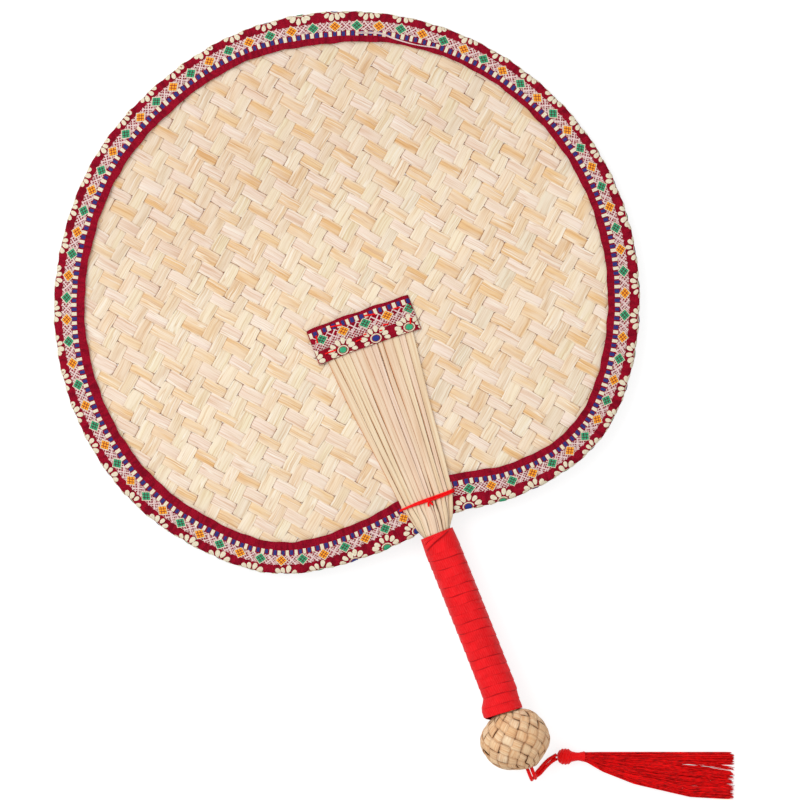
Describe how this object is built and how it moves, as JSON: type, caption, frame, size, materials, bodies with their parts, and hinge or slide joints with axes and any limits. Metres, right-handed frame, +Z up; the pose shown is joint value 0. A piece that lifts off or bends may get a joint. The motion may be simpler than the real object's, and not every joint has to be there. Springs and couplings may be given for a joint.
{
  "type": "woven hand fan",
  "caption": "Round hand fan of twill-woven reed strips with a folded trim ribbon round the rim, a taped handle, a plaited straw ball and a tassel on a cord.",
  "frame": {"origin": "centre of the box round the fan without its cord and tassel, at the level of the table that the fan lies on", "axes": "+Z up off the table, out of the blade's front face; +Y along the handle from the ball towards the top of the blade; +X to the right"},
  "size_m": [0.3096, 0.4749, 0.0348],
  "materials": {
    "woven_reed": "flat split reed, satin, undyed",
    "sheaf_reed": "flat split reed, satin, undyed",
    "trim_ribbon": "jacquard trim ribbon, maroon with small flowers",
    "core_wood": "bare wood",
    "red_tape": "satin tape",
    "red_thread": "twisted rayon thread",
    "red_cord": "twisted cord",
    "plaited_straw": "plaited wheat straw, matt"
  },
  "bodies": {
    "fan": {"woven_blade": "woven_reed", "rim_ribbon": "trim_ribbon", "front_reed_01": "sheaf_reed", "front_reed_02": "sheaf_reed", "front_reed_03": "sheaf_reed", "front_reed_04": "sheaf_reed", "front_reed_05": "sheaf_reed", "front_reed_06": "sheaf_reed", "front_reed_07": "sheaf_reed", "front_reed_08": "sheaf_reed", "front_reed_09": "sheaf_reed", "front_reed_10": "sheaf_reed", "front_reed_11": "sheaf_reed", "front_reed_12": "sheaf_reed", "back_reed_01": "sheaf_reed", "back_reed_02": "sheaf_reed", "back_reed_03": "sheaf_reed", "back_reed_04": "sheaf_reed", "back_reed_05": "sheaf_reed", "back_reed_06": "sheaf_reed", "back_reed_07": "sheaf_reed", "back_reed_08": "sheaf_reed", "back_reed_09": "sheaf_reed", "back_reed_10": "sheaf_reed", "back_reed_11": "sheaf_reed", "back_reed_12": "sheaf_reed", "front_band": "trim_ribbon", "back_band": "trim_ribbon", "front_tie": "red_thread", "back_tie": "red_thread", "handle_core": "core_wood", "handle_tape": "red_tape", "straw_ball": "plaited_straw", "cord_stub_left": "red_cord", "cord_stub_right": "red_cord"},
    "tassel": {"cord_leg_left": "red_cord", "cord_leg_right": "red_cord", "tassel_head": "red_thread", "tassel_neck": "red_thread", "tassel_upper_lock": "red_thread", "tassel_lower_lock": "red_thread"}
  },
  "joints": [
    {"name": "tassel_swing", "type": "hinge", "parent": "fan", "child": "tassel", "pos_m": [0, -0.21641, 0.011], "axis": [0, 0, 1], "range_deg": [-137, 20]}
  ]
}
